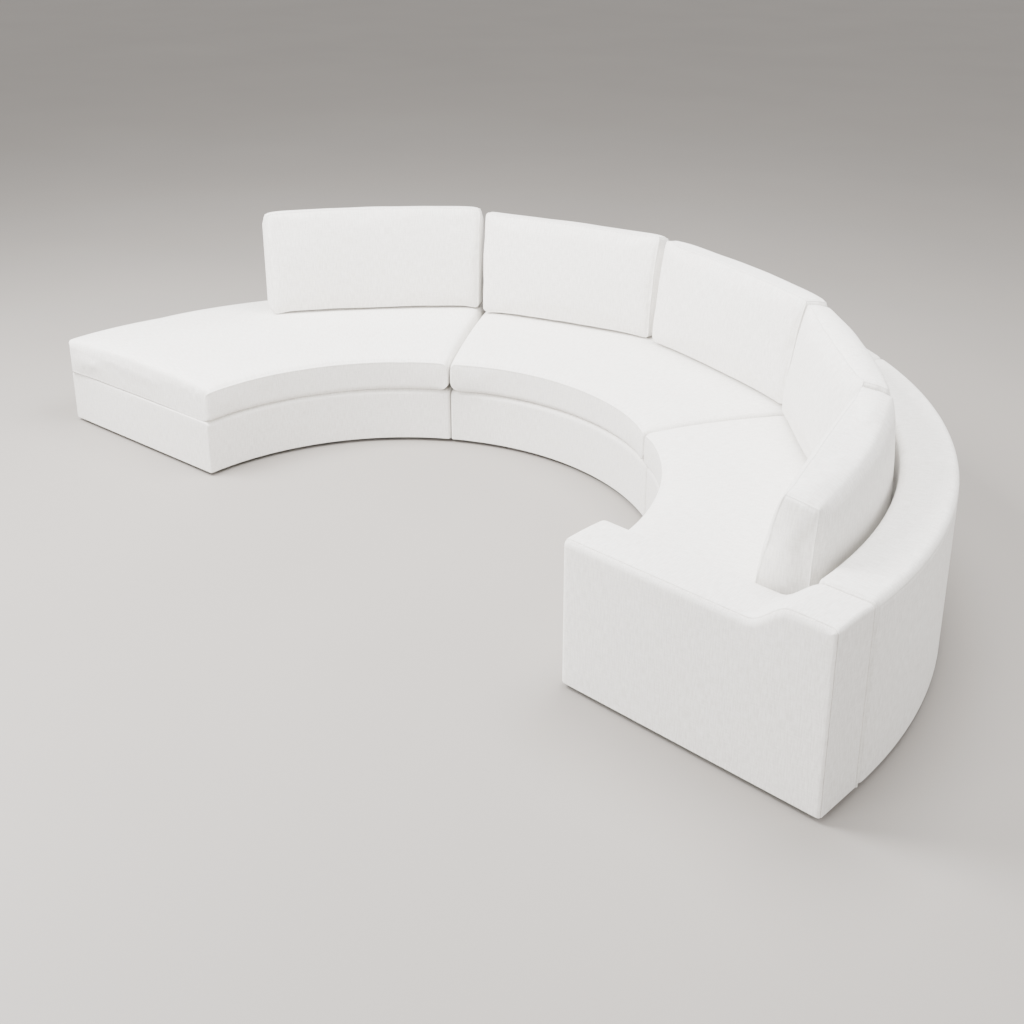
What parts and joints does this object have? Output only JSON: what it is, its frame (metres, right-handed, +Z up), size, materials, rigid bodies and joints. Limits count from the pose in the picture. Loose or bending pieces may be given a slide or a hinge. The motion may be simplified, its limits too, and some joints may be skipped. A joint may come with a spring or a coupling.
{
  "type": "curved sectional daybed sofa",
  "caption": "Curved upholstered daybed sofa in separable modules, with an open end, a low back, an arm at the other end, seat cushions and loose back cushions.",
  "frame": {"origin": "on the floor, at the centre of the box around the whole object", "axes": "+X along the widest extent, from the open daybed end to the arm; -Y towards the open side of the curve; +Z up"},
  "size_m": [4.29, 2.362, 0.9709],
  "materials": {
    "linen": "matt slubby weave",
    "filling": "open foam and fibre",
    "webbing": "woven elastic",
    "dust_cloth": "thin non-woven cloth",
    "frame_wood": "sawn plywood",
    "foot_plastic": "moulded, matt",
    "steel": "zinc plated"
  },
  "bodies": {
    "middle_module": {"middle_back_cover": "linen", "middle_back_posts": "frame_wood", "middle_back_top_rail": "frame_wood", "middle_base_cover": "linen", "middle_dust_cover": "dust_cloth", "middle_end_panels": "linen", "middle_feet": "foot_plastic", "middle_front_rail": "frame_wood", "middle_outer_rail": "frame_wood", "middle_receivers": "steel", "middle_ribs": "frame_wood", "middle_webbing": "webbing"},
    "left_module": {"left_back_cover": "linen", "left_back_posts": "frame_wood", "left_back_top_rail": "frame_wood", "left_base_cover": "linen", "left_dust_cover": "dust_cloth", "left_end_panels": "linen", "left_feet": "foot_plastic", "left_front_rail": "frame_wood", "left_outer_rail": "frame_wood", "left_ribs": "frame_wood", "left_tail_cover": "linen", "left_tongues": "steel", "left_webbing": "webbing"},
    "right_module": {"right_back_cover": "linen", "right_back_posts": "frame_wood", "right_back_top_rail": "frame_wood", "right_base_cover": "linen", "right_dust_cover": "dust_cloth", "right_end_panels": "linen", "right_feet": "foot_plastic", "right_front_rail": "frame_wood", "right_outer_rail": "frame_wood", "right_ribs": "frame_wood", "right_tongues": "steel", "right_webbing": "webbing", "arm_bolt_nuts": "steel", "arm_bolts": "steel", "arm_cover": "linen", "arm_cross_boards": "frame_wood", "arm_dust_cover": "dust_cloth", "arm_side_boards": "frame_wood"},
    "middle_seat": {"middle_seat_cover": "linen", "middle_seat_foam": "filling"},
    "left_seat": {"left_seat_cover": "linen", "left_seat_foam": "filling"},
    "right_seat": {"right_seat_cover": "linen", "right_seat_foam": "filling"},
    "back_cushion_1": {"back_cushion_1_cover": "linen", "back_cushion_1_fill": "filling"},
    "back_cushion_2": {"back_cushion_2_cover": "linen", "back_cushion_2_fill": "filling"},
    "back_cushion_3": {"back_cushion_3_cover": "linen", "back_cushion_3_fill": "filling"},
    "back_cushion_4": {"back_cushion_4_cover": "linen", "back_cushion_4_fill": "filling"},
    "back_cushion_5": {"back_cushion_5_cover": "linen", "back_cushion_5_fill": "filling"}
  },
  "joints": [
    {"name": "left_module_pull", "type": "slide", "parent": "middle_module", "child": "left_module", "axis": [-0.8434, -0.5373, 0], "range_m": [0, 0.3]},
    {"name": "right_module_pull", "type": "slide", "parent": "middle_module", "child": "right_module", "axis": [0.8434, -0.5373, 0], "range_m": [0, 0.3]},
    {"name": "left_seat_lift", "type": "slide", "parent": "left_module", "child": "left_seat", "axis": [0, 0, 1], "range_m": [0, 0.3]},
    {"name": "middle_seat_lift", "type": "slide", "parent": "middle_module", "child": "middle_seat", "axis": [0, 0, 1], "range_m": [0, 0.3]},
    {"name": "right_seat_lift", "type": "slide", "parent": "right_module", "child": "right_seat", "axis": [0, 0, 1], "range_m": [0, 0.3]},
    {"name": "back_cushion_1_lift", "type": "slide", "parent": "left_seat", "child": "back_cushion_1", "axis": [0, 0, 1], "range_m": [0, 0.3]},
    {"name": "back_cushion_2_lift", "type": "slide", "parent": "middle_seat", "child": "back_cushion_2", "axis": [0, 0, 1], "range_m": [0, 0.3]},
    {"name": "back_cushion_3_lift", "type": "slide", "parent": "middle_seat", "child": "back_cushion_3", "axis": [0, 0, 1], "range_m": [0, 0.3]},
    {"name": "back_cushion_4_lift", "type": "slide", "parent": "right_seat", "child": "back_cushion_4", "axis": [0, 0, 1], "range_m": [0, 0.3]},
    {"name": "back_cushion_5_lift", "type": "slide", "parent": "right_seat", "child": "back_cushion_5", "axis": [0, 0, 1], "range_m": [0, 0.3]}
  ]
}
